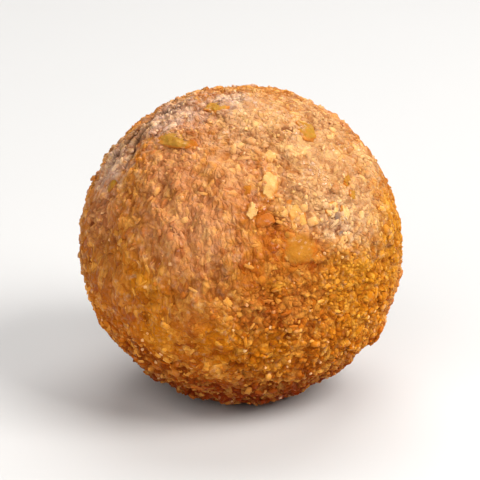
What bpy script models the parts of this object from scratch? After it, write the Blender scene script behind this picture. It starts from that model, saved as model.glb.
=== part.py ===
"""A hand-rolled coconut ladoo: one solid ball of pressed crumb on the small flat it settles onto.

Metres, +Z up, -Y is the front. The origin is the middle of the flat spot under the ball, below
the middle of its outline. A place on the ball is given as an azimuth, in degrees to the right of
the front, and an elevation, in degrees above the ball's middle.
"""

import math

import bmesh
import bpy
from mathutils import Vector, noise

# Driving dimensions of the ball, as rolled and before its underside settles flat.
WIDTH = 0.0406
DEPTH = 0.0400
HEIGHT = 0.0399
FOOT_DIAMETER = 0.0120

# The skin: each of the 20 triangles of an icosahedron is split into this many a side.
SPLITS_PER_SIDE = 24

# Slow unevenness that the palms leave.
SWELL_HEIGHT = 0.00030
SWELL_SIZE = 0.016

# Flattened places where the ball was pressed between the palms: azimuth, elevation, how deep the
# press goes in, and how far it spreads over the skin.
PALM_PRESSES = (
    (-58, 12, 0.00034, 0.0105),
    (84, 34, 0.00030, 0.0095),
    (28, -22, 0.00026, 0.0090),
    (158, 8, 0.00036, 0.0110),
    (-150, 46, 0.00030, 0.0095),
    (-128, -30, 0.00028, 0.0090),
)

# Crumbs: the middle spacing of the coarse ones, how far a top stands from the middle height, how
# much of that is left in a smooth place, how deep the creases between crumbs go in the smooth and
# in the craggy places, and how wide they are as a share of the spacing.
CRUMB_SPACING = 0.0026
CRUMB_TOPS = 0.00028
SMOOTH_TOPS_SHARE = 0.4
CREASE_SMOOTH = 0.00020
CREASE_CRAGGY = 0.00055
CREASE_WIDTH = 0.32

# The craggy patches: their size, and the noise values where they begin and are at their full.
CRAGGY_PATCH_SIZE = 0.011
CRAGGY_FROM = -0.25
CRAGGY_FULL = 0.35

# Pits where a crumb has dropped out: the spacing of the places that may hold one, the share of
# them that does, the pit's radius and depth, and how much of the radius its floor takes.
PIT_SPACING = 0.0058
PIT_SHARE = 0.42
PIT_RADIUS = 0.00125
PIT_DEPTH = 0.00060
PIT_FLOOR = 0.35

# Crumbs and pits take their own values from points this many times as far apart as they are.
CELLS_APART = 7.0

# Nut and coconut chips that stand a little proud: azimuth, elevation, turn of the long side from
# level, length, width and how far the chip stands out.
CHIPS = (
    (-45, 56, 4, 0.0042, 0.0019, 0.00042),
    (49, 60, 60, 0.0024, 0.0019, 0.00036),
    (-34, 76, 20, 0.0022, 0.0017, 0.00032),
    (13, 42, 70, 0.0030, 0.0019, 0.00040),
    (6, 32, 30, 0.0022, 0.0018, 0.00036),
    (22, 18, 80, 0.0036, 0.0028, 0.00034),
    (-21, -40, 15, 0.0028, 0.0020, 0.00036),
    (112, 22, 35, 0.0038, 0.0022, 0.00042),
    (141, 58, 75, 0.0026, 0.0020, 0.00036),
    (176, -14, 10, 0.0036, 0.0024, 0.00040),
    (-166, 34, 50, 0.0030, 0.0019, 0.00038),
    (-118, 6, 65, 0.0034, 0.0021, 0.00040),
    (-96, -34, 25, 0.0027, 0.0020, 0.00036),
    (74, -30, 40, 0.0031, 0.0022, 0.00038),
)

# A chip is flat out to the first share of its oval, and its side is down in the skin at the second.
CHIP_TOP = 0.7
CHIP_ROOT = 1.35

# Cracks where the crumb parted while it was rolled: where each starts and ends, how far it
# strays from the straight way between them, its width and its depth. Each turns aside about as
# often as CRACK_BENDS.
CRACK_BENDS = 6
CRACKS = (
    ((-84, 22), (-112, 68), 0.00080, 0.0011, 0.00065),
    ((48, 2), (78, 12), 0.00060, 0.0009, 0.00045),
    ((132, -8), (150, 30), 0.00075, 0.0010, 0.00055),
    ((-160, -22), (-136, -4), 0.00060, 0.0009, 0.00050),
)

# The crumb dies out into the clean flat this far around the foot.
FOOT_MARGIN = 0.0022

# Points of the flat's rim that fall closer together than this become one.
RIM_STEP = 0.0002

NODE_NAME = "ladoo"
CRUMB_COLOUR = (0.56, 0.21, 0.035, 1.0)
CRUMB_ROUGHNESS = 0.62


def clear_scene():
    for old in list(bpy.data.objects):
        bpy.data.objects.remove(old, do_unlink=True)


def direction_of(azimuth, elevation):
    """The unit vector from the ball's middle towards a place on it, from angles in degrees."""
    turn = math.radians(azimuth)
    rise = math.radians(elevation)
    level = math.cos(rise)
    return Vector((math.sin(turn) * level, -math.cos(turn) * level, math.sin(rise)))


def smooth_step(low, high, value):
    """0 below low, 1 above high, and an even curve between."""
    share = min(1.0, max(0.0, (value - low) / (high - low)))
    return share * share * (3.0 - 2.0 * share)


def rolled_radius(towards):
    """How far the plain rolled ball reaches: an ellipsoid of the driving dimensions."""
    half = Vector((WIDTH, DEPTH, HEIGHT)) / 2
    return 1.0 / Vector((towards.x / half.x, towards.y / half.y, towards.z / half.z)).length


def palm_form(towards, place):
    """The slow swells of the rolled ball, less the flats that the palms press into it."""
    form = SWELL_HEIGHT * noise.noise(place / SWELL_SIZE)
    for azimuth, elevation, depth, spread in PALM_PRESSES:
        across = (towards - direction_of(azimuth, elevation)).length * rolled_radius(towards)
        form -= depth * math.exp(-((across / spread) ** 2))
    return form


def blend(first, second, share):
    return first + (second - first) * share


def own_value(middle):
    """A value from -1 to 1 that belongs to one crumb or pit, told from the others by its middle."""
    return noise.cell(middle * CELLS_APART)


def crumb_relief(place):
    """Coarse crumbs with their own heights, parted by creases that deepen in craggy places."""
    near, middles = noise.voronoi(place / CRUMB_SPACING)
    craggy = smooth_step(CRAGGY_FROM, CRAGGY_FULL, noise.noise(place / CRAGGY_PATCH_SIZE))
    top = CRUMB_TOPS * blend(SMOOTH_TOPS_SHARE, 1.0, craggy) * own_value(middles[0])
    gap = 1.0 - smooth_step(0.0, CREASE_WIDTH, near[1] - near[0])
    return top - blend(CREASE_SMOOTH, CREASE_CRAGGY, craggy) * gap


def pit_relief(place):
    """A shallow round-bottomed hollow at some of the places that may hold one."""
    near, middles = noise.voronoi(place / PIT_SPACING)
    if own_value(middles[0]) > 2 * PIT_SHARE - 1:
        return 0.0
    from_middle = near[0] * PIT_SPACING
    return -PIT_DEPTH * (1.0 - smooth_step(PIT_FLOOR * PIT_RADIUS, PIT_RADIUS, from_middle))


def chip_relief(towards, place):
    """The chips' flat tops, each an oval with steep sides, turned as it lies in the skin."""
    relief = 0.0
    for azimuth, elevation, turn, length, width, proud in CHIPS:
        middle = direction_of(azimuth, elevation)
        level = Vector((0, 0, 1)).cross(middle).normalized()
        upward = middle.cross(level)
        along = level * math.cos(math.radians(turn)) + upward * math.sin(math.radians(turn))
        aside = middle.cross(along)
        offset = (towards - middle) * place.length
        oval = math.hypot(offset.dot(along) / (length / 2), offset.dot(aside) / (width / 2))
        relief = max(relief, proud * (1.0 - smooth_step(CHIP_TOP, CHIP_ROOT, oval)))
    return relief


def crack_relief(towards, place):
    """A V-shaped groove along each crack, wandering about the straight way and closing at its ends."""
    relief = 0.0
    for number, (start, end, stray, width, depth) in enumerate(CRACKS):
        first = direction_of(*start)
        way = direction_of(*end) - first
        along = (towards - first).dot(way) / way.length_squared
        if not 0.0 < along < 1.0:
            continue
        aside = first.cross(way).normalized()
        wander = stray * noise.noise(Vector((along * CRACK_BENDS, number + 0.5, 0.5)))
        across = abs((towards - first).dot(aside) * place.length - wander)
        gape = math.sqrt(math.sin(math.pi * along))
        relief = min(relief, -depth * gape * max(0.0, 1.0 - across / (width / 2 * gape)))
    return relief


def foot_height():
    """How far the flat lies above the lowest point that the round ball would reach."""
    foot_share = FOOT_DIAMETER / ((WIDTH + DEPTH) / 2)
    return HEIGHT / 2 * (1.0 - math.sqrt(1.0 - foot_share ** 2))


def clear_of_foot(place):
    """0 on the flat, 1 away from it, and a share in the margin between."""
    if place.z > 0:
        return 1.0
    rim = FOOT_DIAMETER / 2
    return smooth_step(rim, rim + FOOT_MARGIN, math.hypot(place.x, place.y))


def skin_point(towards):
    """The point of the finished skin in one direction from the ball's middle."""
    place = towards * rolled_radius(towards)
    relief = palm_form(towards, place) + chip_relief(towards, place) + crack_relief(towards, place)
    relief += crumb_relief(place) + pit_relief(place)
    return place + towards * relief * clear_of_foot(place)


def split_icosahedron(mesh):
    """A ball of even triangles, all its corners on the unit sphere."""
    bmesh.ops.create_icosphere(mesh, subdivisions=1, radius=1.0)
    bmesh.ops.subdivide_edges(
        mesh, edges=mesh.edges[:], cuts=SPLITS_PER_SIDE - 1, use_grid_fill=True
    )
    for vert in mesh.verts:
        vert.co.normalize()


def settle_on_foot(mesh):
    """Cuts the underside flat at the foot's height and brings the flat to the origin."""
    floor = foot_height() - HEIGHT / 2
    skin = mesh.verts[:] + mesh.edges[:] + mesh.faces[:]
    cut = bmesh.ops.bisect_plane(
        mesh, geom=skin, plane_co=(0, 0, floor), plane_no=(0, 0, 1), clear_inner=True
    )
    rim = [piece for piece in cut["geom_cut"] if isinstance(piece, bmesh.types.BMVert)]
    bmesh.ops.remove_doubles(mesh, verts=rim, dist=RIM_STEP)
    open_edges = [edge for edge in mesh.edges if edge.is_boundary]
    flat = bmesh.ops.contextual_create(mesh, geom=open_edges)["faces"]
    bmesh.ops.triangulate(mesh, faces=flat)
    lowest = [min(vert.co[axis] for vert in mesh.verts) for axis in range(2)]
    highest = [max(vert.co[axis] for vert in mesh.verts) for axis in range(2)]
    middle = Vector(((lowest[0] + highest[0]) / 2, (lowest[1] + highest[1]) / 2, floor))
    for vert in mesh.verts:
        vert.co -= middle


def crumb_material():
    material = bpy.data.materials.new("pressed_crumb")
    material.use_nodes = True
    shader = material.node_tree.nodes["Principled BSDF"]
    shader.inputs["Base Color"].default_value = CRUMB_COLOUR
    shader.inputs["Roughness"].default_value = CRUMB_ROUGHNESS
    shader.inputs["Metallic"].default_value = 0.0
    return material


def make_ladoo():
    mesh = bmesh.new()
    split_icosahedron(mesh)
    for vert in mesh.verts:
        vert.co = skin_point(vert.co.copy())
    settle_on_foot(mesh)
    bmesh.ops.recalc_face_normals(mesh, faces=mesh.faces[:])
    data = bpy.data.meshes.new(NODE_NAME)
    mesh.to_mesh(data)
    mesh.free()
    data.shade_smooth()
    data.materials.append(crumb_material())
    ladoo = bpy.data.objects.new(NODE_NAME, data)
    bpy.context.scene.collection.objects.link(ladoo)
    return ladoo


clear_scene()
make_ladoo()
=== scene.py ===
"""The looks of a hand-rolled coconut ladoo, laid out as an add-on and run as a script.

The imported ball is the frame. Its pressed crumb, the grains and shreds rolled into its skin and the
chips are modelled around it. Lengths are in metres and patterns in millimetres. The pressed crumb's
pattern goes by the place on the smooth skin, which it keeps as an attribute. A place on the ball is
an azimuth, in degrees to the right of the front, and an elevation, in degrees above its middle.
"""

import math

import bpy
import numpy as np
from bpy.props import FloatProperty, FloatVectorProperty, IntProperty, PointerProperty
from bpy.types import NodeSocket, Operator, Panel, PropertyGroup
from mathutils import Matrix, Vector


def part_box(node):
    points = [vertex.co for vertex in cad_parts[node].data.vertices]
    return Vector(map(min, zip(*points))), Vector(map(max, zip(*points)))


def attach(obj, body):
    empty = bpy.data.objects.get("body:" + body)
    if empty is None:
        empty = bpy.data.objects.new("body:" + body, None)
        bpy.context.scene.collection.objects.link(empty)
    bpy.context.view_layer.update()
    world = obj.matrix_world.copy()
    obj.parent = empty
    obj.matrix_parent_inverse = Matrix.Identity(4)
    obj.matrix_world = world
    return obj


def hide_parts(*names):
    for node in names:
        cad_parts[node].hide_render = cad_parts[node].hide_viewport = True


bl_info = {
    "name": "Coconut ladoo",
    "version": (1, 0, 0),
    "blender": (4, 5, 0),
    "location": "3D View > Sidebar > Ladoo",
    "description": "Dresses the packed ladoo in pressed coconut and jaggery crumb",
    "category": "Add Mesh",
}

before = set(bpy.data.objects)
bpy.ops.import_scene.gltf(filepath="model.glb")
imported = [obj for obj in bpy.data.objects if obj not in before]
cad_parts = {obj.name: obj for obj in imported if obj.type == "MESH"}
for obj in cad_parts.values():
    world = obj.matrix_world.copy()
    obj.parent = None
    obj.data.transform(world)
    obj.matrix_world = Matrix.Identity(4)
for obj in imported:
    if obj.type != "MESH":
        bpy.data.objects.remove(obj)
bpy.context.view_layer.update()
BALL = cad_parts["ladoo"]
LOW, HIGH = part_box("ladoo")
MIDDLE = (LOW + HIGH) / 2
RADIUS = (HIGH.x - LOW.x) / 2

# Millimetres in a metre.
MM = 1000.0

# Names that values are kept under on the pieces.
PLACE = "skin_place"
TONE = "tone"

# Heights in millimetres between which, going down, the light tones grow stronger (a painted lift
# against the dimmer light low on the ball), the colour deeper (painted shade), the ghee duller and
# the foot dark (painted shade where the ball meets the floor).
DIM_LIGHT_BAND = (27.0, 9.0)
LOW_SHADE_BAND = (25.0, 9.0)
GHEE_BAND = (20.0, 6.0)
FOOT_SHADE_BAND = (10.5, 2.5)

# Each triangle of an icosahedron is split into this many a side for the fine skin.
SKIN_SPLITS = 98

# Each kind of grain comes in this many shapes.
SHAPES = 4

# Chips of nut, coconut, jaggery and spice: azimuth, elevation, turn of the long side from level,
# length, width, how far the chip's top stands out of the skin, and its tone from 0 to 1.
YELLOW_CHIPS = (
    (-44, 54, 4, 0.0048, 0.0018, 0.00016, 0.5),
    (50, 58, 60, 0.0027, 0.0021, 0.00018, 0.0),
    (-34, 75, 20, 0.0025, 0.0018, 0.00012, 0.2),
    (112, 22, 35, 0.0036, 0.002, 0.00014, 0.8),
    (176, -14, 10, 0.0036, 0.002, 0.00014, 0.5),
    (-118, 6, 65, 0.0033, 0.0019, 0.00012, 0.4),
    (74, -30, 40, 0.0028, 0.0018, 0.0001, 0.1),
    (-69, 29, 80, 0.002, 0.0015, 0.0001, 0.1),
    (54, 35, 30, 0.0014, 0.001, 0.0001, 0.2),
    (53, 29, 70, 0.0012, 0.0009, 0.00008, 0.4),
)
PALE_CHIPS = (
    (13, 39, 75, 0.0031, 0.0018, 0.00025, 0.5),
    (18, 51, 30, 0.0017, 0.0014, 0.00014, 0.5),
    (5, 30, 60, 0.0017, 0.0013, 0.00022, 0.6),
    (23, 27, 85, 0.0032, 0.0022, 0.00008, 0.0),
    (39, 27, 20, 0.0016, 0.0012, 0.0001, 0.8),
    (45, 24, 70, 0.0018, 0.0012, 0.00012, 1.0),
    (41, 16, 45, 0.0015, 0.0011, 0.0001, 0.6),
    (141, 58, 75, 0.0028, 0.0018, 0.00014, 0.8),
    (-166, 34, 50, 0.0031, 0.0018, 0.00014, 0.6),
    (-96, -34, 25, 0.0026, 0.0018, 0.00012, 0.4),
    (150, -20, 60, 0.0019, 0.0013, 0.0001, 0.7),
)
JAGGERY_NUGGETS = (
    (10, 27, 20, 0.002, 0.0016, 0.0002, 0.9),
    (3, 38, 60, 0.0012, 0.0009, 0.00014, 0.2),
    (-21, -46, 15, 0.0022, 0.0016, 0.0001, 1.0),
    (126, 34, 50, 0.0019, 0.0016, 0.00018, 0.3),
    (-104, 14, 30, 0.002, 0.0015, 0.00018, 0.6),
    (166, -24, 80, 0.0021, 0.0016, 0.00016, 0.4),
)
SPICE_SPECKS = (
    (40, 24, 70, 0.0009, 0.0006, 0.00022, 0.2),
    (40, 18, 30, 0.0008, 0.0006, 0.0002, 0.5),
    (-131, 38, 40, 0.0009, 0.0006, 0.0002, 0.3),
    (-127, 41, 80, 0.0007, 0.0005, 0.0002, 0.6),
    (98, -18, 20, 0.0008, 0.0006, 0.0002, 0.8),
    (158, 12, 60, 0.0009, 0.0006, 0.0002, 0.4),
)

# A chip is flat and broken, and a nugget domed and smooth: its thickness over its width, how round
# its outline is, and how ragged.
BROKEN = {"plumpness": 0.5, "roundness": 0.8, "ragged": 0.19}
DOMED = {"plumpness": 0.7, "roundness": 0.9, "ragged": 0.16}

# Crumb covers a chip from this deep below its top, in times what stands proud.
BARE_DEPTH = 1.4

# Where the crumb under a chip is felt, in shares of its length and width.
PROBES = (-0.3, 0.0, 0.3)

# Cracks where the crumb parted: where each starts and ends, its width, and how far it gapes.
CRACKS = (
    ((-74, 26), (-104, 71), 0.0024, 1.0),
    ((50, 3), (76, 11), 0.0007, 0.62),
    ((132, -8), (150, 30), 0.0009, 0.8),
    ((-160, -22), (-136, -4), 0.0008, 0.7),
    ((-66, 34), (-80, 62), 0.0013, 0.95),
)
CRACK_STRAY = 0.0007
CRACK_WAVES = 5.0

# The floor's flat radius, the radius and steps of its curved rim, and the wall's height.
FLOOR_RADIUS = 1.2
SWEEP = 0.4
SWEEP_STEPS = 8
WALL = 0.8

# The camera's sensor, in millimetres across.
SENSOR = 36.0

# Patches of the skin that differ in colour or in crumb: azimuth, elevation and radius.
PATCHES = {
    "golden": (
        (50, -14, 0.013), (12, -24, 0.007), (-5, -20, 0.0062), (-34, -1, 0.007), (-31, -18, 0.005),
        (160, -30, 0.012), (-120, -28, 0.011),
    ),
    "straw": (
        (72, 7, 0.011), (44, 3, 0.0075), (13, 2, 0.0024), (48, -18, 0.0032), (-152, 2, 0.007),
        (128, -26, 0.008),
    ),
    "tan": (
        (-20, 24, 0.0114), (-56, 62, 0.009), (-34, 44, 0.0085), (-2, 42, 0.007), (-70, 22, 0.008),
        (-120, 12, 0.011), (170, 8, 0.01), (118, 44, 0.009), (86, -16, 0.007),
    ),
    # Cream patches: the coconut's own colour, and painted sheen on those near the top.
    "cream": (
        (48, 50, 0.0135), (82, 58, 0.0095), (79, 37, 0.006), (10, 70, 0.013), (52, 26, 0.009),
        (34, 34, 0.0095), (150, 46, 0.011), (-140, 52, 0.01), (118, 18, 0.008), (-100, -6, 0.009),
        (172, -6, 0.008),
    ),
    # Painted sheen: pinkish grey on the top and along the crack, where light glances off.
    "frost": ((-74, 62, 0.0076), (-78, 36, 0.0068), (-30, 80, 0.0046), (176, 68, 0.005)),
    "pale": ((42, 22, 0.0052), (-100, 36, 0.0044), (146, -16, 0.004)),
    "amber": (
        (24, 13, 0.0038), (14, 19, 0.004), (10, 27, 0.0022), (-18, -47, 0.0056), (12, -4, 0.0044),
        (3, 8, 0.0024), (18, -3, 0.002), (120, -8, 0.004), (-140, 18, 0.0036), (170, 40, 0.003),
    ),
    "fibrous": ((-26, 18, 0.015), (-70, 6, 0.01), (150, 10, 0.012), (-150, 30, 0.01)),
    "craggy": ((42, -16, 0.015), (-46, -40, 0.008), (140, 24, 0.012), (-120, -24, 0.012)),
    "smooth": (
        (-9, 27, 0.007), (-12, 48, 0.0055), (50, 46, 0.005), (22, 73, 0.0045), (-30, 10, 0.0045),
        (-52, 41, 0.0048), (-50, -8, 0.006), (-16, -17, 0.0065), (86, 26, 0.006), (146, 6, 0.007),
        (-132, -2, 0.007),
    ),
    # Sugared patches, low near the rim: more sugar grains, whose pale colour is partly painted
    # glints.
    "sugared": (
        (30, -40, 0.008), (58, -26, 0.006), (-34, -34, 0.006), (-66, 2, 0.005), (150, -40, 0.008),
        (-130, -38, 0.008),
    ),
    "glazed": ((22, 16, 0.0028), (121, -8, 0.0026), (-140, 18, 0.0026), (168, 40, 0.0022)),
}


def direction_of(azimuth, elevation):
    """The unit vector from the ball's middle towards a place on it, from angles in degrees."""
    turn = math.radians(azimuth)
    rise = math.radians(elevation)
    level = math.cos(rise)
    return Vector((math.sin(turn) * level, -math.cos(turn) * level, math.sin(rise)))


# ---- selecting, applying


def choose(*pieces):
    """Leaves only these objects selected, the first one active."""
    bpy.ops.object.select_all(action="DESELECT")
    for piece in pieces:
        piece.select_set(True)
    bpy.context.view_layer.objects.active = pieces[0]


def begin(primitive, **settings):
    """Adds a primitive, the only object selected, and gives it back."""
    bpy.ops.object.select_all(action="DESELECT")
    primitive(**settings)
    return bpy.context.object


def edit_all():
    """Goes into edit mode with all of the active mesh selected."""
    bpy.ops.object.mode_set(mode="EDIT")
    bpy.ops.mesh.select_all(action="SELECT")


def finish_with(piece, kind, **settings):
    """Adds one modifier with its settings, and applies it."""
    choose(piece)
    modifier = piece.modifiers.new(kind.lower(), kind)
    for name, value in settings.items():
        setattr(modifier, name, value)
    bpy.ops.object.modifier_apply(modifier=modifier.name)


def settle_place(piece):
    """Puts the object's place, turn and size into its mesh."""
    choose(piece)
    bpy.ops.object.transform_apply(location=True, rotation=True, scale=True)


def dress(piece, name, material):
    """Names a finished piece, gives it its material, and lets it ride with the ball."""
    piece.name = name
    piece.data.name = name
    piece.data.materials.clear()
    piece.data.materials.append(material)
    choose(piece)
    bpy.ops.object.shade_smooth()
    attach(piece, "root")
    return piece


# ---- node trees in code


def plug(node, inputs):
    """Links each named input where a socket is given, and sets it where a value is."""
    for key, value in inputs.items():
        if isinstance(value, NodeSocket):
            node.id_data.links.new(node.inputs[key], value)
        else:
            node.inputs[key].default_value = value


def add(tree, kind, inputs=None, **settings):
    """Adds a node with its settings and its inputs, and gives its outputs."""
    made = tree.nodes.new(kind)
    for name, value in settings.items():
        setattr(made, name, value)
    plug(made, inputs or {})
    return made.outputs


def reckon(operation, *values):
    """One Math node, in the tree that its first socket is in."""
    tree = next(value for value in values if isinstance(value, NodeSocket)).id_data
    return add(tree, "ShaderNodeMath", dict(enumerate(values)), operation=operation)[0]


def plus(first, second):
    return reckon("ADD", first, second)


def less(first, second):
    return reckon("SUBTRACT", first, second)


def times(value, *others):
    """Several values multiplied together."""
    for other in others:
        value = reckon("MULTIPLY", value, other)
    return value


def vector_reckon(operation, first, second):
    """One Vector Math node."""
    inputs = {0: first, 1: second}
    return add(first.id_data, "ShaderNodeVectorMath", inputs, operation=operation)[0]


def scaled(vector, factor):
    inputs = {"Vector": vector, "Scale": factor}
    return add(vector.id_data, "ShaderNodeVectorMath", inputs, operation="SCALE")[0]


def ramp(value, low, high, start=0.0, end=1.0):
    """A smooth step of value, from start at low to end at high."""
    inputs = {"Value": value, "From Min": low, "From Max": high, "To Min": start, "To Max": end}
    kind = {"interpolation_type": "SMOOTHSTEP"}
    return add(value.id_data, "ShaderNodeMapRange", inputs, **kind)["Result"]


def cells(place, size, output="Distance", feature="F1"):
    """A Voronoi pattern of cells about size millimetres across."""
    inputs = {"Vector": place, "Scale": 1.0 / size}
    return add(place.id_data, "ShaderNodeTexVoronoi", inputs, feature=feature)[output]


def clouds(place, size, detail=2.0, output="Fac"):
    """A noise pattern of clouds about size millimetres across."""
    inputs = {"Vector": place, "Scale": 1.0 / size, "Detail": detail}
    return add(place.id_data, "ShaderNodeTexNoise", inputs)[output]


def wander(place, size, detail):
    """Clouds that rise and fall about nought."""
    return less(clouds(place, size, detail), 0.5)


def opaque(colour):
    """A colour for a socket, from three channels or from another socket."""
    return colour if isinstance(colour, NodeSocket) else (*colour, 1.0)


def tint(share, first, second, blend="MIX"):
    """Two colours mixed by a share. A Mix node's sockets for colours are 6, 7 and, out of it, 2."""
    inputs = {0: share, 6: opaque(first), 7: opaque(second)}
    return add(share.id_data, "ShaderNodeMix", inputs, data_type="RGBA", blend_type=blend)[2]


def channel(vector, index):
    """One number of the three in a vector or a colour."""
    return add(vector.id_data, "ShaderNodeSeparateXYZ", {0: vector})[index]


def height_of(place):
    return channel(place, 2)


def kept(tree, name):
    """A value kept on the piece under a name, for a geometry or a shader tree."""
    if tree.bl_idname == "GeometryNodeTree":
        inputs = {"Name": name}
        return add(tree, "GeometryNodeInputNamedAttribute", inputs, data_type="FLOAT")[0]
    return add(tree, "ShaderNodeAttribute", attribute_name=name)["Fac"]


# ---- the pressed crumb


def crumbs(place, size):
    """Crumbs about size millimetres across: two tones of each, and how far inside its rim it is."""
    colour = cells(place, size, "Color")
    inside = ramp(cells(place, size, feature="DISTANCE_TO_EDGE"), 0.0, 0.3)
    return channel(colour, 0), channel(colour, 1), inside


def crumb_pattern(place, crumb):
    """The pressed crumb at a place in millimetres, for a geometry or a shader tree alike.

    Gives how high the skin stands in millimetres, the coarse and fine crumbs' own tones, how far
    inside its rim each crumb is, how craggy the place is, its pits, and where jaggery glazes it.
    """
    tree = place.id_data
    smooth = kept(tree, "smooth")
    stir = clouds(place, crumb.stir_size * MM, output="Color")
    stir = vector_reckon("ADD", stir, (-0.5, -0.5, -0.5))
    crumbly = vector_reckon("ADD", place, scaled(stir, crumb.stir_reach * MM))
    upright = vector_reckon("MULTIPLY", crumbly, (1.0, 1.0, crumb.fibre_stretch))
    coarse_tone, coarse_top, coarse_inside = crumbs(crumbly, crumb.coarse_size * MM)
    fine = crumbs(crumbly, crumb.fine_size * MM)
    fibres = crumbs(upright, crumb.fibre_size * MM)
    drift = wander(place, crumb.patch_size * MM, 1.0)
    fibrous = ramp(plus(kept(tree, "fibrous"), drift), 0.1, 0.35)
    small_tone, small_top, small_inside = (
        plus(grain, times(fibrous, less(fibre, grain))) for grain, fibre in zip(fine, fibres)
    )
    crags = clouds(crumbly, crumb.patch_size * MM * 0.7, 1.0)
    crags = plus(crags, times(kept(tree, "craggy"), 0.35))
    craggy = ramp(less(crags, times(smooth, 0.45)), 0.4, 0.6)
    parted = clouds(upright, crumb.slit_size * MM, 1.0)
    slit = times(ramp(parted, 0.54, 0.66), fibrous)
    pit_cells = crumb.pit_spacing * MM
    pit_reach = ramp(channel(cells(crumbly, pit_cells, "Color"), 0), 0.55, 1.0, 0.0, 0.3)
    pit = ramp(less(pit_reach, cells(crumbly, pit_cells)), 0.0, 0.12)
    pit = times(pit, ramp(smooth, 0.0, 0.45, 1.0, 0.0))
    glazed = ramp(plus(kept(tree, "glazed"), wander(place, 1.4, 1.0)), 0.1, 0.5)

    def stand(height, share, most):
        return plus(height, times(share, most * MM))

    height = stand(0.0, less(coarse_top, 0.5), crumb.tops)
    height = stand(height, less(small_top, 0.5), crumb.fine_tops)
    height = stand(height, less(coarse_inside, 0.8), crumb.crease)
    height = stand(height, less(small_inside, 0.8), crumb.fine_crease)
    height = times(height, ramp(craggy, 0.0, 1.0, 0.55, 1.35))
    height = stand(height, wander(place, 0.5, 3.0), crumb.grit)
    height = times(height, ramp(glazed, 0.0, 1.0, 1.0, 0.15))
    height = stand(height, glazed, crumb.glaze)
    height = stand(height, wander(place, 2.6, 2.0), crumb.swells)
    height = stand(height, slit, -crumb.slit_depth)
    height = stand(height, pit, -crumb.pit_depth)
    return {
        "height": height,
        "coarse_tone": coarse_tone,
        "fine_tone": small_tone,
        "coarse_inside": coarse_inside,
        "fine_inside": small_inside,
        "craggy": craggy,
        "pit": reckon("MAXIMUM", pit, times(slit, 0.55)),
        "glazed": glazed,
    }


def geometry_tree(name):
    """An empty geometry node group with one geometry in and one out."""
    tree = bpy.data.node_groups.new(name, "GeometryNodeTree")
    for side in ("INPUT", "OUTPUT"):
        tree.interface.new_socket("Geometry", in_out=side, socket_type="NodeSocketGeometry")
    return tree, add(tree, "NodeGroupInput")[0]


def point_place(tree):
    """Where each point is, in millimetres."""
    return scaled(add(tree, "GeometryNodeInputPosition")[0], MM)


def moved(geometry, along, reach):
    """A geometry with its points moved along a direction."""
    inputs = {"Geometry": geometry, "Offset": scaled(along, reach)}
    return add(geometry.id_data, "GeometryNodeSetPosition", inputs)[0]


def normal_of(tree):
    return add(tree, "GeometryNodeInputNormal")[0]


def keep_value(geometry, name, value, **settings):
    inputs = {"Geometry": geometry, "Name": name, "Value": value}
    return add(geometry.id_data, "GeometryNodeStoreNamedAttribute", inputs, **settings)[0]


def clear_of_foot(tree, margin):
    """0 at the foot's height and 1 from a margin in metres above it."""
    height = height_of(add(tree, "GeometryNodeInputPosition")[0])
    return ramp(height, LOW.z + 0.0002, LOW.z + margin)


def standing(place, crumb):
    """How far the relief stands out of the smooth skin, in metres, and none at the foot."""
    tree = place.id_data
    sunk = times(ramp(kept(tree, "crack"), 0.45, 1.0), crumb.crack_depth * MM)
    height = less(crumb_pattern(place, crumb)["height"], sunk)
    return times(reckon("DIVIDE", height, MM), clear_of_foot(tree, 0.0016))


def relief_tree(crumb):
    """Stands the crumb's pattern up out of the smooth skin, and keeps the smooth place."""
    tree, skin = geometry_tree("crumb_relief")
    place = point_place(tree)
    skin = keep_value(skin, PLACE, place, data_type="FLOAT_VECTOR")
    add(tree, "NodeGroupOutput", {0: moved(skin, normal_of(tree), standing(place, crumb))})
    return tree


def smooth_skin(crumb):
    """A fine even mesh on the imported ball's skin, with its facets smoothed away."""
    ball = bpy.ops.mesh.primitive_ico_sphere_add
    skin = begin(ball, subdivisions=1, radius=RADIUS, location=MIDDLE)
    edit_all()
    bpy.ops.mesh.subdivide(number_cuts=SKIN_SPLITS - 1)
    bpy.ops.transform.tosphere(value=1.0)
    bpy.ops.transform.resize(value=(1.25, 1.25, 1.25))
    bpy.ops.object.mode_set(mode="OBJECT")
    settle_place(skin)
    finish_with(
        skin,
        "SHRINKWRAP",
        target=BALL,
        wrap_method="PROJECT",
        use_positive_direction=False,
        use_negative_direction=True,
    )
    finish_with(skin, "SMOOTH", factor=0.5, iterations=crumb.smoothing)
    return skin


def points_of(piece):
    """A piece's points, one a row."""
    points = np.zeros(len(piece.data.vertices) * 3, np.float32)
    piece.data.vertices.foreach_get("co", points)
    return points.reshape(-1, 3)


def directions(piece):
    """The unit vector from the ball's middle to each point of a piece."""
    points = points_of(piece) - np.array(MIDDLE, np.float32)
    return points / np.linalg.norm(points, axis=1, keepdims=True)


def keep_share(piece, name, share):
    """Keeps a value for each point of a piece under a name."""
    made = piece.data.attributes.new(name, "FLOAT", "POINT")
    made.data.foreach_set("value", share.astype(np.float32))


def paint_patches(piece, name, patches):
    """Keeps how deep each point lies in round patches: 1 in the middle, 0 at the rim and out."""
    points = directions(piece)
    share = np.zeros(len(points))
    for azimuth, elevation, radius in patches:
        apart = np.linalg.norm(points - np.array(direction_of(azimuth, elevation)), axis=1) * RADIUS
        share = np.maximum(share, np.clip(1.0 - apart / radius, 0.0, 1.0))
    keep_share(piece, name, share)


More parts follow.
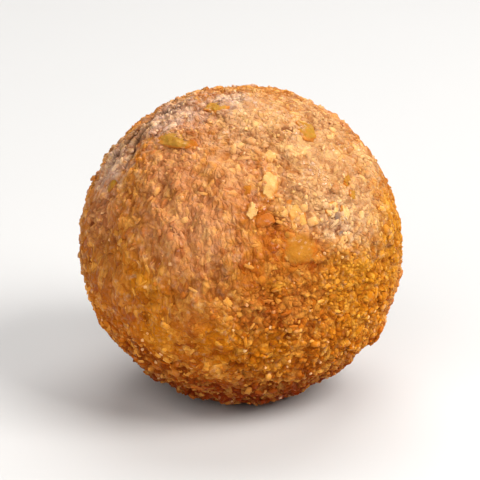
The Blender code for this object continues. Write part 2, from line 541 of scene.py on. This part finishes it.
def paint_cracks(piece):
    """Keeps how near each point lies to a crack: 1 in its bottom, 0 from its width away."""
    points = directions(piece)
    share = np.zeros(len(points))
    for number, (start, end, width, most) in enumerate(CRACKS):
        first = np.array(direction_of(*start))
        way = np.array(direction_of(*end)) - first
        along = (points - first) @ way / (way @ way)
        near_side = points @ (first + way / 2) > 0.0
        aside = np.cross(first, way)
        aside /= np.linalg.norm(aside)
        bends = np.sin(along * CRACK_WAVES + number)
        bends += 0.5 * np.sin(along * CRACK_WAVES * 2.7 + 2 * number)
        off = np.abs((points - first) @ aside * RADIUS - CRACK_STRAY * bends)
        gape = most * np.sqrt(np.clip(np.sin(np.pi * np.clip(along, 0.0, 1.0)), 0.0, 1.0))
        share = np.maximum(share, near_side * gape * np.clip(1.0 - off / width, 0.0, 1.0))
    keep_share(piece, "crack", share)


# ---- materials


def shader_group(name, inputs, outputs):
    """An empty shader group with named sockets of given kinds, and what it is given."""
    tree = bpy.data.node_groups.new(name, "ShaderNodeTree")
    for side, sockets in (("INPUT", inputs), ("OUTPUT", outputs)):
        for socket, kind in sockets.items():
            tree.interface.new_socket(socket, in_out=side, socket_type="NodeSocket" + kind)
    return tree, add(tree, "NodeGroupInput")


def ghee_group():
    """Ghee lies in smears: it darkens the crumb a little, smooths it, and puts a wet coat on it."""
    inputs = {"Place": "Vector", "Colour": "Color", "Amount": "Float"}
    outputs = {"Colour": "Color", "Roughness": "Float", "Coat": "Float"}
    tree, given = shader_group("ghee_film", inputs, outputs)
    place = given["Place"]
    wet = times(ramp(clouds(place, 3.2, 3.0), 0.36, 0.6), given["Amount"])
    beads = ramp(clouds(place, 0.45, 2.0), 0.5, 0.6)
    coat = times(wet, beads, ramp(height_of(place), *GHEE_BAND, 1.0, 0.35))
    darker = tint(times(wet, 0.4), given["Colour"], (0.9, 0.68, 0.4), "MULTIPLY")
    add(tree, "NodeGroupOutput", {0: darker, 1: less(0.6, times(wet, 0.22)), 2: coat})
    return tree


def tooth_group():
    """The finest tooth of ground coconut, as a height in metres."""
    tree, given = shader_group("fine_tooth", {"Place": "Vector"}, {"Height": "Float"})
    grit = times(clouds(given["Place"], 0.16, 3.0), 0.1)
    shreds = times(cells(given["Place"], 0.3), 0.05)
    add(tree, "NodeGroupOutput", {0: reckon("DIVIDE", plus(grit, shreds), MM)})
    return tree


def ground_group():
    """The crumb's colour over the ball, before each crumb's own tone: mottle, patches and painted
    shade.
    """
    crumb = bpy.context.scene.ladoo_crumb
    tree, given = shader_group("ground_colour", {"Place": "Vector"}, {"Colour": "Color"})
    place = given["Place"]
    height = height_of(place)
    mottle = ramp(clouds(place, 5.5, 3.0), 0.36, 0.64)
    colour = tint(mottle, crumb.deep_colour, crumb.warm_colour)
    # Painted shade: a deeper, redder colour low on the ball.
    colour = tint(times(ramp(height, *LOW_SHADE_BAND), 0.85), colour, crumb.low_colour)
    crumbled_edge = times(wander(place, 0.9, 3.0), 1.3)
    for name, low, high, most, coat in (
        ("golden", 0.05, 0.8, 0.8, crumb.golden_colour),
        ("straw", 0.05, 0.8, 0.8, crumb.straw_colour),
        # Coconut cream, with painted sheen near the top.
        ("cream", 0.05, 0.8, 0.8, crumb.cream_and_sheen_colour),
        ("tan", 0.05, 0.8, 0.7, crumb.tan_colour),
        # Painted sheen, pinkish grey.
        ("frost", 0.05, 0.8, 0.85, crumb.painted_sheen_colour),
        ("pale", 0.1, 0.9, 0.75, crumb.pale_colour),
        ("amber", 0.15, 0.6, 0.8, crumb.amber_colour),
        ("glazed", 0.15, 0.6, 0.85, crumb.glaze_colour),
        # Painted shade and sheen: grey-brown along a crack.
        ("crack", 0.1, 0.9, 0.65, crumb.crack_shade_sheen_colour),
    ):
        share = ramp(plus(kept(tree, name), crumbled_edge), low, high)
        colour = tint(times(share, most), colour, coat)
    blotch = ramp(clouds(place, 2.4, 1.0), 0.52, 0.34)
    colour = deepened(colour, blotch, 1.0, crumb.blotch_gain)
    # Painted shade: dark red-brown round the foot, where the ball meets the floor.
    colour = tint(times(ramp(height, *FOOT_SHADE_BAND), 0.9), colour, crumb.foot_shade_colour)
    add(tree, "NodeGroupOutput", {0: colour})
    return tree


GROUPS = {"ghee_film": ghee_group, "fine_tooth": tooth_group, "ground_colour": ground_group}


def effect(name, inputs):
    """One of the shared groups, made once, in the material that its inputs come from."""
    group = bpy.data.node_groups.get(name) or GROUPS[name]()
    return add(inputs["Place"].id_data, "ShaderNodeGroup", inputs, node_tree=group)


def new_material(name):
    material = bpy.data.materials.new(name)
    material.use_nodes = True
    return material, material.node_tree, material.node_tree.nodes["Principled BSDF"]


def object_place(tree):
    """Where a piece's surface is, in millimetres."""
    return scaled(add(tree, "ShaderNodeTexCoord")["Object"], MM)


def moist_finish(shader, colour, place, ghee, bump, height=0.0):
    """The finish that all the food shares: ghee over its colour, and a fine tooth."""
    film = effect("ghee_film", {"Place": place, "Colour": colour, "Amount": ghee})
    tooth = effect("fine_tooth", {"Place": place})["Height"]
    inputs = {"Height": plus(tooth, height), "Strength": bump, "Distance": 1.0}
    settings = {
        "Base Color": film["Colour"],
        "Roughness": film["Roughness"],
        "Coat Weight": film["Coat"],
        "Normal": add(place.id_data, "ShaderNodeBump", inputs)["Normal"],
        "Specular IOR Level": 0.05,
        "Coat Roughness": 0.17,
        "Coat IOR": 1.5,
        "Subsurface Weight": 0.12,
        "Subsurface Radius": (1.0, 0.4, 0.12),
        "Subsurface Scale": 0.001,
    }
    plug(shader, settings)


def ground(place):
    return effect("ground_colour", {"Place": place})["Colour"]


def deepened(colour, share, most, gain):
    """A colour with each channel lowered by a gain, by a share of at most most."""
    return tint(times(share, most), colour, gain, "MULTIPLY")


def paled(colour, share, most, lift):
    """A colour with a lift added to each channel, by a share of at most most."""
    return tint(times(share, most), colour, lift, "ADD")


def lift_against_dim_light(place):
    """How strong the light tones are: in full low down and less on top, a painted lift against the
    dimmer light low on the ball.
    """
    return ramp(height_of(place), *DIM_LIGHT_BAND, 0.57, 1.0)


def crumb_material(crumb):
    """Pressed coconut and jaggery crumb: toned crumbs on the ground colour, with painted shade in
    the creases, pits and cracks.
    """
    material, tree, shader = new_material("pressed_crumb")
    place = add(tree, "ShaderNodeAttribute", attribute_name=PLACE)["Vector"]
    pattern = crumb_pattern(place, crumb)
    colour = ground(place)
    plain = ramp(pattern["glazed"], 0.0, 1.0, 1.0, 0.15)
    # Painted lift: low on the ball the light and dark tones grow stronger, against the dimmer light
    # there.
    strong = lift_against_dim_light(place)
    calm = plus(times(strong, 0.5), 0.5)
    for tone, dark, most_dark, light, most_light in (
        ("coarse_tone", (0.3, 0.04), 0.7, (0.55, 0.95), 0.7),
        ("fine_tone", (0.3, 0.0), 0.6, (0.6, 1.0), 0.9),
    ):
        deep = times(ramp(pattern[tone], *dark), plain, calm)
        pale = times(ramp(pattern[tone], *light), plain, strong)
        colour = deepened(colour, deep, most_dark, crumb.dark_gain)
        colour = paled(colour, pale, most_light, crumb.light_lift)
    # Painted shade: darker in the creases between crumbs, in pits and slits, more in craggy patches.
    rims = times(less(1.0, pattern["fine_inside"]), 0.6)
    rims = reckon("MAXIMUM", less(1.0, pattern["coarse_inside"]), rims)
    depth = ramp(pattern["craggy"], 0.0, 1.0, 0.25, 0.6)
    depth = plus(depth, times(kept(tree, "craggy"), 0.25))
    shade = times(reckon("MAXIMUM", times(rims, depth), pattern["pit"]), plain)
    # Painted shade in the bottom of a crack.
    parted = ramp(kept(tree, "crack"), 0.45, 0.85)
    colour = deepened(colour, shade, 0.9, crumb.crease_shade_gain)
    colour = deepened(colour, parted, 1.0, crumb.crack_shade_gain)
    pressed = times(
        ramp(pattern["craggy"], 0.0, 1.0, 1.0, 0.45),
        ramp(reckon("MAXIMUM", shade, parted), 0.0, 0.35, 1.0, 0.0),
        ramp(pattern["glazed"], 0.0, 1.0, 1.0, 0.25),
        ramp(height_of(place), *GHEE_BAND, 1.0, 0.6),
    )
    fine = times(pattern["fine_inside"], plain, crumb.fine_crease)
    moist_finish(shader, colour, place, pressed, 0.9, fine)
    return material


def grain_material(name, gain, lift, ghee, bump):
    """A grain's material: the crumb's colour about it, each grain deepened or paled by its tone."""
    material, tree, shader = new_material(name)
    place = object_place(tree)
    tone = kept(tree, TONE)
    colour = deepened(ground(place), ramp(tone, 0.45, 0.0), 1.0, gain)
    # The lift grows low down, painted against the dimmer light there.
    colour = paled(colour, ramp(tone, 0.3, 1.0), lift_against_dim_light(place), lift)
    moist_finish(shader, colour, place, ghee, bump)
    return material


def chip_material(name, first, second, own, ghee, bump):
    """A chip's material: each toned between two colours, and stained by the crumb about it."""
    material, tree, shader = new_material(name)
    place = object_place(tree)
    colour = tint(kept(tree, TONE), first, second)
    stains = ramp(clouds(place, 0.6, 3.0), 0.35, 0.62, own, 1.0)
    crumbled_edge = times(wander(place, 0.4, 2.0), 1.2)
    bare = ramp(plus(kept(tree, "bare"), crumbled_edge), 0.15, 0.9)
    colour = tint(times(stains, bare), ground(place), colour)
    moist_finish(shader, colour, place, ghee, bump)
    return material


# ---- grains in the crumb


def crumb_shape(name, seed, ragged, boxiness):
    """One lump a metre across, to be scattered small: a rounded cube, or a ball if not boxy."""
    if boxiness:
        shape = begin(bpy.ops.mesh.primitive_cube_add, size=1.0)
    else:
        shape = begin(bpy.ops.mesh.primitive_ico_sphere_add, subdivisions=1, radius=0.5)
    shape.name = name
    edit_all()
    if boxiness:
        bpy.ops.mesh.subdivide(number_cuts=1)
        bpy.ops.transform.tosphere(value=1.0 - boxiness)
    bpy.ops.transform.vertex_random(offset=ragged, uniform=1.0, normal=0.0, seed=seed)
    bpy.ops.object.mode_set(mode="OBJECT")
    bpy.ops.object.shade_smooth()
    return shape


def scatter_tree(
    name, crumb, shapes, seed, smallest, largest, spacing, density, sink, tilt, craggy_bias,
    among_fibres, unsugared=1.0,
):
    """Scatters copies of the shapes over a skin, at random turns, and makes them mesh."""
    tree, skin = geometry_tree(name)
    place = point_place(tree)
    share = ramp(clouds(place, 4.5, 2.0), 0.38, 0.62, 1.0 - craggy_bias, 1.0)
    share = times(share, clear_of_foot(tree, 0.0014))
    for patch, *band in (
        ("glazed", 0.05, 0.4, 1.0, 0.0),
        ("fibrous", 0.1, 0.5, 1.0, among_fibres),
        ("smooth", 0.1, 0.6, 1.0, 0.35),
        ("sugared", 0.0, 0.4, unsugared, 1.0),
    ):
        share = times(share, ramp(kept(tree, patch), *band))
    inputs = {
        "Mesh": skin,
        "Distance Min": spacing,
        "Density Max": density,
        "Density Factor": share,
        "Seed": seed,
    }
    kind = "GeometryNodeDistributePointsOnFaces"
    spread = add(tree, kind, inputs, distribute_method="POISSON")
    points = moved(spread["Points"], spread["Normal"], less(standing(place, crumb), sink))

    def draw(number, data_type, inputs):
        """A chance value for each grain."""
        inputs = {**inputs, "Seed": seed * 10 + number}
        return add(tree, "FunctionNodeRandomValue", inputs, data_type=data_type)

    turn = draw(1, "FLOAT_VECTOR", {0: (-tilt, -tilt, 0.0), 1: (tilt, tilt, 2 * math.pi)})[0]
    turn = add(tree, "FunctionNodeEulerToRotation", {0: turn})[0]
    inputs = {0: spread["Rotation"], 1: turn}
    turned = add(tree, "FunctionNodeRotateRotation", inputs, rotation_space="LOCAL")[0]
    inputs = {0: shapes, "Separate Children": True, "Reset Children": True}
    inputs = {
        "Points": points,
        "Instance": add(tree, "GeometryNodeCollectionInfo", inputs)[0],
        "Pick Instance": True,
        "Instance Index": draw(2, "INT", {4: 0, 5: SHAPES - 1})[2],
        "Rotation": turned,
        "Scale": draw(3, "FLOAT_VECTOR", {0: smallest, 1: largest})[0],
    }
    laid = add(tree, "GeometryNodeInstanceOnPoints", inputs)[0]
    tone = draw(4, "FLOAT", {})[1]
    laid = keep_value(laid, TONE, tone, data_type="FLOAT", domain="INSTANCE")
    add(tree, "NodeGroupOutput", {0: add(tree, "GeometryNodeRealizeInstances", {0: laid})[0]})
    return tree


def scatter(name, material, smallest, largest, seed, ragged, boxiness=0.0, **spread):
    """One piece: a whole kind of grain, scattered over a copy of the smooth skin."""
    shapes = bpy.data.collections.new(name + "_shapes")
    bpy.context.scene.collection.children.link(shapes)
    made = [
        crumb_shape(f"{name}_shape_{number}", seed + number, ragged, boxiness)
        for number in range(SHAPES)
    ]
    for shape in made:
        bpy.context.collection.objects.unlink(shape)
        shapes.objects.link(shape)
    piece = skin_copy()
    crumb = bpy.context.scene.ladoo_crumb
    tree = scatter_tree(name, crumb, shapes, seed, smallest, largest, **spread)
    finish_with(piece, "NODES", node_group=tree)
    for shape in made:
        bpy.data.objects.remove(shape, do_unlink=True)
    bpy.data.collections.remove(shapes)
    return dress(piece, name, material)


# ---- chips and nuggets


def crumb_reach(towards):
    """How far the pressed crumb reaches from the ball's middle in a direction."""
    crumb = bpy.data.objects["pressed_crumb"]
    hit, spot, _normal, _face = crumb.ray_cast(MIDDLE + towards * 2 * RADIUS, -towards)
    if not hit:
        raise RuntimeError("no pressed crumb under a chip")
    return (spot - MIDDLE).length


def chip(form, azimuth, elevation, turn, length, width, proud, tone):
    """One chip of nut, coconut, jaggery or spice, bent to the ball and laid in its crumb."""
    thickness = form["plumpness"] * width
    piece = begin(bpy.ops.mesh.primitive_cube_add, size=1.0)
    edit_all()
    bpy.ops.mesh.subdivide(number_cuts=3)
    bpy.ops.transform.tosphere(value=form["roundness"])
    seed = abs(97 * azimuth + 31 * elevation) + turn
    bpy.ops.transform.vertex_random(offset=form["ragged"], uniform=1.0, normal=0.0, seed=seed)
    bpy.ops.transform.resize(value=(length, thickness, width), center_override=(0, 0, 0))
    bpy.ops.object.mode_set(mode="OBJECT")
    finish_with(piece, "SUBSURF", levels=2, render_levels=2)
    sunk = thickness / 2 + points_of(piece)[:, 1]
    keep_share(piece, "bare", np.clip(1.0 - sunk / (BARE_DEPTH * proud), 0.0, 1.0))
    keep_share(piece, TONE, np.full(len(piece.data.vertices), tone))
    angle = length / RADIUS
    finish_with(piece, "SIMPLE_DEFORM", deform_method="BEND", deform_axis="Z", angle=angle)
    outward = direction_of(azimuth, elevation)
    level = Vector((0, 0, 1)).cross(outward).normalized()
    upward = outward.cross(level)
    slant = math.radians(turn)
    along = level * math.cos(slant) + upward * math.sin(slant)
    aside = outward.cross(along)
    under = [(x * length / RADIUS, y * width / RADIUS) for x in PROBES for y in PROBES]
    reaches = [crumb_reach((outward + along * x + aside * y).normalized()) for x, y in under]
    seat = MIDDLE + outward * (sum(reaches) / len(reaches) + proud - thickness / 2)
    axes = Matrix((along, -outward, aside)).transposed().to_4x4()
    piece.matrix_world = Matrix.Translation(seat) @ axes
    settle_place(piece)
    return piece


def chipped_tree(chips):
    """Roughens the chips' skins, coarse and fine."""
    tree, skin = geometry_tree("chipped")
    place = point_place(tree)
    coarse = times(wander(place, 1.1, 1.0), chips.lumps)
    fine = times(wander(place, 0.4, 2.0), chips.nicks)
    add(tree, "NodeGroupOutput", {0: moved(skin, normal_of(tree), plus(coarse, fine))})
    return tree


def lay_chips(chips, name, places, material, form):
    """One piece: all the chips of a kind, each at its place."""
    choose(*[chip(form, *place) for place in places])
    bpy.ops.object.join()
    piece = bpy.context.object
    finish_with(piece, "NODES", node_group=chipped_tree(chips))
    return dress(piece, name, material)


# ---- settings


def amount(name, description, default, **settings):
    return FloatProperty(name=name, description=description, default=default, **settings)


def metres(name, default):
    return amount(name, name + ", in metres", default, unit="LENGTH", precision=5)


def gains(name, description, default, **settings):
    """What a colour's three channels are multiplied by, or what is added to them."""
    settings.update(name=name, description=description, default=default, size=3, min=0.0)
    return FloatVectorProperty(**settings)


def paint(thing, default):
    return gains(thing.capitalize(), "Colour of " + thing, default, subtype="COLOR", max=1.0)


class CrumbSettings(PropertyGroup):
    coarse_size: metres("Spacing of the coarse crumbs", 0.0012)
    fine_size: metres("Spacing of the fine crumbs", 0.00062)
    fibre_size: metres("Spacing of the coconut fibres", 0.00058)
    fibre_stretch: amount("Fibre stretch", "A fibre's width over its length", 0.34)
    stir_size: metres("Size of the swirls that bend the crumbs", 0.0018)
    stir_reach: metres("How far a crumb's outline is bent", 0.0012)
    patch_size: metres("Size of the craggy patches", 0.008)
    tops: metres("How uneven the coarse crumbs' tops are", 0.00024)
    fine_tops: metres("How uneven the fine crumbs' tops are", 0.00012)
    crease: metres("Depth of the creases between coarse crumbs", 0.00021)
    fine_crease: metres("Depth of the creases between fine crumbs", 0.00015)
    grit: metres("Height of the grit on every crumb", 0.00012)
    swells: metres("Height of the soft swells", 0.00085)
    slit_size: metres("Width of the slits between coconut fibres", 0.00085)
    slit_depth: metres("Depth of the slits between coconut fibres", 0.00022)
    pit_spacing: metres("Spacing of the pits", 0.003)
    pit_depth: metres("Depth of a pit where a crumb fell out", 0.00032)
    glaze: metres("How far melted jaggery stands proud of the crumb", 0.00012)
    crack_depth: metres("Depth of a crack below the packed groove", 0.0006)
    smoothing: IntProperty(
        name="Smoothing", description="Passes that round the packed facets", default=14
    )
    warm_colour: paint("most of the crumb", (0.605, 0.224, 0.042))
    deep_colour: paint("the crumb with most jaggery", (0.52, 0.162, 0.014))
    # Painted shade low on the ball.
    low_colour: paint("the painted shade low on the ball", (0.56, 0.136, 0.002))
    golden_colour: paint("the golden patches", (0.68, 0.226, 0.003))
    straw_colour: paint("the yellowest patches", (0.72, 0.295, 0.014))
    # Painted shade round the foot.
    foot_shade_colour: paint("the painted shade round the foot", (0.25, 0.026, 0.001))
    # Coconut cream, and painted sheen near the top.
    cream_and_sheen_colour: paint("the crumb with most coconut", (0.71, 0.412, 0.196))
    tan_colour: paint("the pinkish tan patches", (0.7, 0.308, 0.132))
    # Painted sheen, pinkish grey.
    painted_sheen_colour: paint("the painted sheen patches", (0.66, 0.45, 0.345))
    pale_colour: paint("the patches of coconut flakes", (0.76, 0.5, 0.29))
    amber_colour: paint("the sticky jaggery patches", (0.49, 0.117, 0.005))
    glaze_colour: paint("the smooth patches of jaggery", (0.48, 0.192, 0.018))
    # Painted shade and sheen along a crack.
    crack_shade_sheen_colour: paint("the painted shade and sheen along a crack", (0.33, 0.19, 0.105))
    light_lift: gains("Light crumbs", "What the lightest crumbs gain", (0.24, 0.168, 0.036))
    dark_gain: gains("Dark crumbs", "Gain of the darkest crumbs", (0.68, 0.5, 0.34))
    blotch_gain: gains("Blotches", "Gain of the colour in soft blotches", (0.88, 0.83, 0.76))
    # Painted shade in the creases between crumbs.
    crease_shade_gain: gains("Creases", "Gain of the colour deep between the crumbs", (0.4, 0.25, 0.2))
    # Painted shade in the bottom of a crack.
    crack_shade_gain: gains("Cracks", "Gain of the colour in the bottom of a crack", (0.36, 0.29, 0.25))


class GrainSettings(PropertyGroup):
    grain_spacing: metres("Spacing of the golden grains", 0.0013)
    fine_spacing: metres("Spacing of the finest grains", 0.00066)
    shred_spacing: metres("Spacing of the coconut shreds", 0.0018)
    speck_spacing: metres("Spacing of the jaggery specks", 0.0018)
    loose_spacing: metres("Spacing of the crumbs that stand proud", 0.0026)
    sugar_spacing: metres("Spacing of the sugar grains", 0.0011)
    dark_grain: gains("Dark grain", "Gain of the darkest golden grains", (0.86, 0.76, 0.66))
    light_grain: gains("Light grain", "What the lightest golden grains gain", (0.29, 0.202, 0.044))
    dark_shred: gains("Dark shred", "Gain of the darkest shreds", (0.95, 0.9, 0.9))
    light_shred: gains("Light shred", "What the lightest shreds gain", (0.3, 0.222, 0.062))
    dark_speck: gains("Dark speck", "Gain of the darkest jaggery specks", (0.45, 0.3, 0.25))
    # The sugar's pale colour is partly painted glints.
    sugar_glint_lift: gains("Sugar", "What the palest sugar grains gain", (0.36, 0.35, 0.22))


class ChipSettings(PropertyGroup):
    lumps: metres("Height of the lumps on a chip", 0.0005)
    nicks: metres("Height of the nicks in a chip", 0.00022)
    yellow_colour: paint("the yellow chips", (0.42, 0.205, 0.022))
    yellow_light: paint("the lightest yellow chips", (0.52, 0.27, 0.045))
    pale_colour: paint("the pale chips", (0.72, 0.38, 0.1))
    pale_light: paint("the lightest pale chips", (0.84, 0.53, 0.215))
    nugget_colour: paint("the amber nuggets", (0.5, 0.185, 0.014))
    nugget_red: paint("the reddest nuggets", (0.52, 0.145, 0.02))
    spice_colour: paint("the darkest spice specks", (0.22, 0.145, 0.105))
    spice_light: paint("the lightest spice specks", (0.32, 0.205, 0.13))


class StageSettings(PropertyGroup):
    elevation: amount(
        "Camera elevation", "How far the camera looks down", math.radians(20), unit="ROTATION"
    )
    lens: amount("Lens", "Focal length in millimetres", 180.0)
    fill: amount("Fill", "Share of the picture's width that the ball takes", 0.68, subtype="FACTOR")
    key_power: amount("Key", "Power of the key light", 3.3, unit="POWER")
    window_power: amount("Window", "Power of the light behind", 2.9, unit="POWER")
    fill_power: amount("Fill light", "Power of the light in front", 2.1, unit="POWER")
    sky: amount("Sky", "Strength of the white all round", 0.12)
    floor_colour: paint("the floor", (0.64, 0.635, 0.625))


# ---- operators


def kept_skin():
    """The smooth skin that the crumb, grains and shreds are laid on, made once."""
    skin = bpy.data.objects.get("smooth_skin")
    if skin is None:
        skin = smooth_skin(bpy.context.scene.ladoo_crumb)
        skin.name = "smooth_skin"
        paint_cracks(skin)
        for name, places in PATCHES.items():
            paint_patches(skin, name, places)
    return skin


def skin_copy():
    choose(kept_skin())
    bpy.ops.object.duplicate()
    return bpy.context.object


class LADOO_OT_pressed_crumb(Operator):
    """Makes the ball's pressed crumb, with its creases, pits and toned crumbs"""

    bl_idname = "ladoo.pressed_crumb"
    bl_label = "Pressed crumb"

    def execute(self, context):
        crumb = context.scene.ladoo_crumb
        piece = skin_copy()
        finish_with(piece, "NODES", node_group=relief_tree(crumb))
        dress(piece, "pressed_crumb", crumb_material(crumb))
        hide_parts("ladoo")
        return {"FINISHED"}


class LADOO_OT_grains(Operator):
    """Scatters the grains, shreds, jaggery specks, loose crumbs and sugar in the skin; the sugar's
    pale colour is partly painted glints
    """

    bl_idname = "ladoo.grains"
    bl_label = "Grains and shreds"

    def execute(self, context):
        grains = context.scene.ladoo_grains
        golden = grain_material("golden_grain", grains.dark_grain, grains.light_grain, 0.5, 0.6)
        flesh = grain_material("coconut_shred", grains.dark_shred, grains.light_shred, 0.6, 0.5)
        speck = grain_material("jaggery_speck", grains.dark_speck, (0.0, 0.0, 0.0), 1.0, 0.3)
        sugar = grain_material("sugar_glint_grain", (1.0, 1.0, 1.0), grains.sugar_glint_lift, 0.7, 0.2)
        scatter(
            "golden_grains", golden, (0.0006, 0.0005, 0.0004), (0.0012, 0.0009, 0.0006),
            seed=3, ragged=0.12, boxiness=0.35, spacing=grains.grain_spacing, density=7e5,
            sink=0.00018, tilt=0.25, craggy_bias=0.6, among_fibres=0.3,
        )
        scatter(
            "fine_grains", golden, (0.00034, 0.0003, 0.00026), (0.00072, 0.00058, 0.0004),
            seed=11, ragged=0.12, spacing=grains.fine_spacing, density=3e6,
            sink=0.00009, tilt=0.3, craggy_bias=0.5, among_fibres=0.35,
        )
        scatter(
            "coconut_shreds", flesh, (0.0007, 0.00024, 0.00018), (0.0014, 0.00042, 0.0003),
            seed=5, ragged=0.1, boxiness=0.5, spacing=grains.shred_spacing, density=5e5,
            sink=0.00006, tilt=0.12, craggy_bias=0.5, among_fibres=1.0,
        )
        scatter(
            "jaggery_specks", speck, (0.00028, 0.00026, 0.00024), (0.0007, 0.0006, 0.0004),
            seed=7, ragged=0.08, spacing=grains.speck_spacing, density=7e5,
            sink=0.0001, tilt=0.3, craggy_bias=0.4, among_fibres=0.8,
        )
        scatter(
            "loose_crumbs", golden, (0.0003, 0.0003, 0.0003), (0.0008, 0.0007, 0.0006),
            seed=9, ragged=0.12, spacing=grains.loose_spacing, density=1.2e5,
            sink=0.0, tilt=0.5, craggy_bias=0.8, among_fibres=0.6,
        )
        # Sugar grains: real grains, their pale colour partly painted glints.
        scatter(
            "sugar_grains", sugar, (0.00028, 0.00028, 0.00026), (0.00072, 0.00062, 0.0005),
            seed=13, ragged=0.08, spacing=grains.sugar_spacing, density=9e5, unsugared=0.4,
            sink=0.0, tilt=0.8, craggy_bias=0.6, among_fibres=0.6,
        )
        return {"FINISHED"}


class LADOO_OT_chips(Operator):
    """Lays the chips, the jaggery nuggets and the spice specks at their places"""

    bl_idname = "ladoo.chips"
    bl_label = "Nut chips"

    def execute(self, context):
        chips = context.scene.ladoo_chips
        yellow = (chips.yellow_colour, chips.yellow_light)
        pale = (chips.pale_colour, chips.pale_light)
        jaggery = (chips.nugget_colour, chips.nugget_red)
        spice = (chips.spice_colour, chips.spice_light)
        for name, places, form, colours, own, ghee, bump in (
            ("yellow_chips", YELLOW_CHIPS, BROKEN, yellow, 0.65, 0.9, 0.7),
            ("pale_chips", PALE_CHIPS, BROKEN, pale, 0.65, 0.7, 0.7),
            ("jaggery_nuggets", JAGGERY_NUGGETS, DOMED, jaggery, 0.35, 1.0, 0.7),
            ("spice_specks", SPICE_SPECKS, BROKEN, spice, 0.8, 0.1, 0.5),
        ):
            material = chip_material(name.rstrip("s"), *colours, own, ghee, bump)
            lay_chips(chips, name, places, material, form)
        return {"FINISHED"}


def area_light(name, azimuth, elevation, distance, size, power, colour):
    """A square soft light that faces the ball from a direction."""
    towards = direction_of(azimuth, elevation)
    light = begin(bpy.ops.object.light_add, type="AREA", location=MIDDLE + towards * distance)
    light.name = name
    light.rotation_euler = towards.to_track_quat("Z", "Y").to_euler()
    light.data.size = size
    light.data.energy = power
    light.data.color = colour


def floor_material(colour):
    material, tree, shader = new_material("studio_floor")
    faint = ramp(clouds(object_place(tree), 40.0, 2.0), 0.3, 0.7, 0.0, 0.03)
    shade = tint(faint, colour, (0.7, 0.7, 0.69))
    plug(shader, {"Base Color": shade, "Roughness": 0.75, "Specular IOR Level": 0.2})
    return material


def studio_floor(colour):
    """A round floor that curves up at its rim into a low wall."""
    disc = bpy.ops.mesh.primitive_circle_add
    floor = begin(disc, vertices=96, radius=FLOOR_RADIUS, fill_type="NGON", location=(0, 0, LOW.z))
    floor.name = "studio_floor"
    edit_all()
    bpy.ops.mesh.select_mode(type="EDGE")
    bpy.ops.mesh.region_to_loop()
    for step in range(SWEEP_STEPS):
        last = math.radians(step * 90 / SWEEP_STEPS)
        bend = math.radians((step + 1) * 90 / SWEEP_STEPS)
        rise = SWEEP * (math.cos(last) - math.cos(bend))
        spread = (FLOOR_RADIUS + SWEEP * math.sin(bend)) / (FLOOR_RADIUS + SWEEP * math.sin(last))
        bpy.ops.mesh.extrude_region_move(TRANSFORM_OT_translate={"value": (0, 0, rise)})
        bpy.ops.transform.resize(value=(spread, spread, 1.0))
    bpy.ops.mesh.extrude_region_move(TRANSFORM_OT_translate={"value": (0, 0, WALL)})
    bpy.ops.object.mode_set(mode="OBJECT")
    bpy.ops.object.shade_smooth()
    settle_place(floor)
    floor.data.materials.append(floor_material(colour))
    return floor


class LADOO_OT_stage(Operator):
    """Makes the pale floor with its curved rim, the soft lights and the camera"""

    bl_idname = "ladoo.stage"
    bl_label = "Stage, lights and camera"

    def execute(self, context):
        stage = context.scene.ladoo_stage
        floor = studio_floor(stage.floor_colour)

        area_light("key_light", 62, 43, 0.55, 0.3, stage.key_power, (1.0, 0.985, 0.965))
        area_light("window_light", 168, 58, 0.6, 0.5, stage.window_power, (1.0, 0.99, 0.99))
        area_light("fill_light", -25, 40, 0.6, 0.5, stage.fill_power, (1.0, 0.99, 0.98))

        world = bpy.data.worlds.new("soft_white")
        context.scene.world = world
        world.use_nodes = True
        sky = world.node_tree.nodes["Background"]
        plug(sky, {"Color": (1.0, 1.0, 1.0, 1.0), "Strength": stage.sky})

        half_view = math.atan(SENSOR / 2 / stage.lens)
        distance = RADIUS / math.sin(math.atan(stage.fill * math.tan(half_view)))
        back = direction_of(0, math.degrees(stage.elevation))
        bpy.ops.object.camera_add(location=MIDDLE + back * distance)
        camera = context.object
        camera.rotation_euler = back.to_track_quat("Z", "Y").to_euler()
        camera.data.lens = stage.lens
        camera.data.sensor_width = SENSOR
        camera.data.clip_start = 0.01
        context.scene.camera = camera
        context.scene.view_settings.view_transform = "Standard"
        return {"FINISHED"}


class LADOO_PT_panel(Panel):
    bl_label = "Coconut ladoo"
    bl_idname = "LADOO_PT_panel"
    bl_space_type = "VIEW_3D"
    bl_region_type = "UI"
    bl_category = "Ladoo"

    def draw(self, context):
        for operator, holder, _ in STEPS:
            self.layout.operator(operator.bl_idname)
            settings = getattr(context.scene, holder)
            for name in settings.bl_rna.properties.keys():
                if name not in {"rna_type", "name"}:
                    self.layout.prop(settings, name)


STEPS = (
    (LADOO_OT_pressed_crumb, "ladoo_crumb", CrumbSettings),
    (LADOO_OT_grains, "ladoo_grains", GrainSettings),
    (LADOO_OT_chips, "ladoo_chips", ChipSettings),
    (LADOO_OT_stage, "ladoo_stage", StageSettings),
)
CLASSES = (*(step[2] for step in STEPS), *(step[0] for step in STEPS), LADOO_PT_panel)


def register():
    for made in CLASSES:
        bpy.utils.register_class(made)
    for _, holder, settings in STEPS:
        setattr(bpy.types.Scene, holder, PointerProperty(type=settings))


def unregister():
    for _, holder, _ in STEPS:
        delattr(bpy.types.Scene, holder)
    for made in reversed(CLASSES):
        bpy.utils.unregister_class(made)


def main():
    register()
    bpy.ops.ladoo.pressed_crumb()
    bpy.ops.ladoo.grains()
    bpy.ops.ladoo.chips()
    bpy.data.objects.remove(kept_skin(), do_unlink=True)
    bpy.ops.ladoo.stage()


if __name__ == "__main__":
    main()
